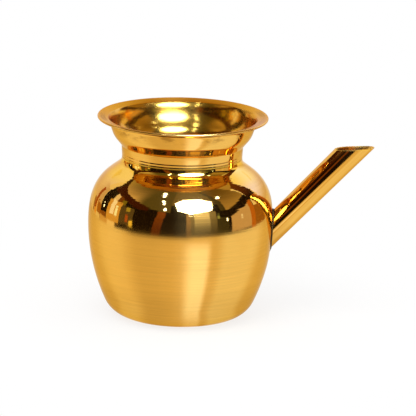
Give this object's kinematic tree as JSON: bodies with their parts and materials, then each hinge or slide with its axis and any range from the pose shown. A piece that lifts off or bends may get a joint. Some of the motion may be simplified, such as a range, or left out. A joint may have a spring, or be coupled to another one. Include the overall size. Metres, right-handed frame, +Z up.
{
  "type": "spouted lota",
  "caption": "Round-bellied brass water pot with a flat base, short neck, flared mouth with a flat lip, and a straight slanted spout for pouring.",
  "frame": {"origin": "centre of the flat base, on the pot's axis, at the surface it stands on", "axes": "+Z up along the pot's axis, +X towards the spout"},
  "size_m": [0.1777, 0.116, 0.1269],
  "materials": {
    "belly_brass": "polished on the lathe, with fine turning lines round the belly",
    "mouth_brass": "polished, with faint smudges under the lip",
    "spout_brass": "drawn tube, polished along its length",
    "braze": "dull, as it ran",
    "solder": "dull grey, wiped"
  },
  "bodies": {
    "root": {"base_bowl": "belly_brass", "shoulder_shell": "belly_brass", "mouth_collar": "mouth_brass", "spout_tube": "spout_brass", "belly_braze": "braze", "neck_solder": "solder", "spout_solder": "solder"}
  },
  "joints": []
}
